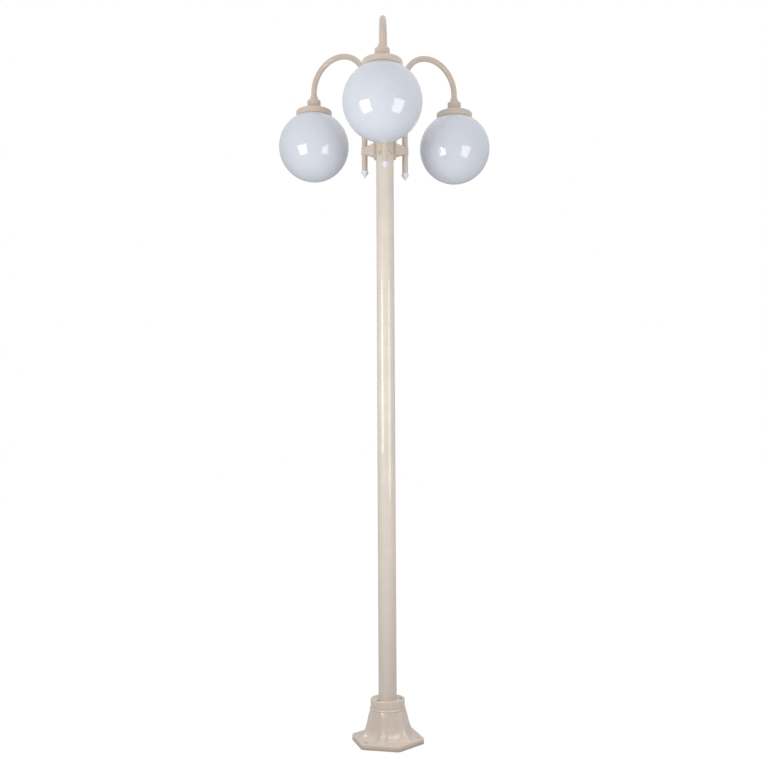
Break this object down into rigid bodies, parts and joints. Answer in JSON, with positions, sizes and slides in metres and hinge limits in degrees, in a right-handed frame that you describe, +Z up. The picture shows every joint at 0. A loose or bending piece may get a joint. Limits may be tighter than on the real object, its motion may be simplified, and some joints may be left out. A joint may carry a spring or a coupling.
{
  "type": "triple head lamp post",
  "caption": "Garden lamp post: flared hexagonal base, round pole, and swan-neck arms in clamp brackets, each carrying an opal globe under a domed cap",
  "frame": {"origin": "on the ground, at the pole's axis, in the plane of the foot's underside", "axes": "+Z up along the pole; the front arm points along -Y, the other arms stand 120 degrees round from it"},
  "size_m": [0.7559, 0.6963, 2.3584],
  "materials": {
    "painted_aluminium": "satin",
    "painted_steel": "satin",
    "bare_steel": "satin",
    "opal_globe": "gloss",
    "finial_white": "gloss",
    "seal_rubber": "matte",
    "holder_plastic": "matte",
    "brass": "satin",
    "lamp_glass": "gloss",
    "lamp_metal": "satin"
  },
  "bodies": {
    "post": {"base_casting": "painted_aluminium", "base_screws": "bare_steel", "foot_plate": "painted_steel", "terminal_block": "holder_plastic", "earth_screw": "brass", "pole": "painted_steel", "pole_cap": "painted_aluminium", "bracket_screws": "bare_steel", "grub_screws": "bare_steel", "bracket_front": "painted_aluminium", "bracket_right": "painted_aluminium", "bracket_left": "painted_aluminium"},
    "arm_front": {"arm_tube_front": "painted_steel", "finial_front": "finial_white", "coupler_front": "painted_aluminium", "globe_cap_front": "painted_aluminium", "seal_front": "seal_rubber", "nipple_front": "brass", "nipple_nut_front": "brass", "lampholder_front": "holder_plastic"},
    "globe_front": {"globe_front": "opal_globe"},
    "lamp_front": {"lamp_base_front": "lamp_metal", "lamp_bulb_front": "lamp_glass"},
    "arm_right": {"arm_tube_right": "painted_steel", "finial_right": "finial_white", "coupler_right": "painted_aluminium", "globe_cap_right": "painted_aluminium", "seal_right": "seal_rubber", "nipple_right": "brass", "nipple_nut_right": "brass", "lampholder_right": "holder_plastic"},
    "globe_right": {"globe_right": "opal_globe"},
    "lamp_right": {"lamp_base_right": "lamp_metal", "lamp_bulb_right": "lamp_glass"},
    "arm_left": {"arm_tube_left": "painted_steel", "finial_left": "finial_white", "coupler_left": "painted_aluminium", "globe_cap_left": "painted_aluminium", "seal_left": "seal_rubber", "nipple_left": "brass", "nipple_nut_left": "brass", "lampholder_left": "holder_plastic"},
    "globe_left": {"globe_left": "opal_globe"},
    "lamp_left": {"lamp_base_left": "lamp_metal", "lamp_bulb_left": "lamp_glass"}
  },
  "joints": [
    {"name": "arm_front_swivel", "type": "hinge", "parent": "post", "child": "arm_front", "pos_m": [0, -0.081, 1.987], "axis": [0, 0, 1], "range_deg": [-30, 30]},
    {"name": "globe_front_drop", "type": "slide", "parent": "arm_front", "child": "globe_front", "axis": [0, 0, -1], "range_m": [0, 0.155]},
    {"name": "lamp_front_unscrew", "type": "slide", "parent": "arm_front", "child": "lamp_front", "axis": [0, 0, -1], "range_m": [0, 0.03]},
    {"name": "arm_right_swivel", "type": "hinge", "parent": "post", "child": "arm_right", "pos_m": [0.07015, 0.0405, 1.987], "axis": [0, 0, 1], "range_deg": [-30, 30]},
    {"name": "globe_right_drop", "type": "slide", "parent": "arm_right", "child": "globe_right", "axis": [0, 0, -1], "range_m": [0, 0.155]},
    {"name": "lamp_right_unscrew", "type": "slide", "parent": "arm_right", "child": "lamp_right", "axis": [0, 0, -1], "range_m": [0, 0.03]},
    {"name": "arm_left_swivel", "type": "hinge", "parent": "post", "child": "arm_left", "pos_m": [-0.07015, 0.0405, 1.987], "axis": [0, 0, 1], "range_deg": [-30, 30]},
    {"name": "globe_left_drop", "type": "slide", "parent": "arm_left", "child": "globe_left", "axis": [0, 0, -1], "range_m": [0, 0.155]},
    {"name": "lamp_left_unscrew", "type": "slide", "parent": "arm_left", "child": "lamp_left", "axis": [0, 0, -1], "range_m": [0, 0.03]}
  ]
}
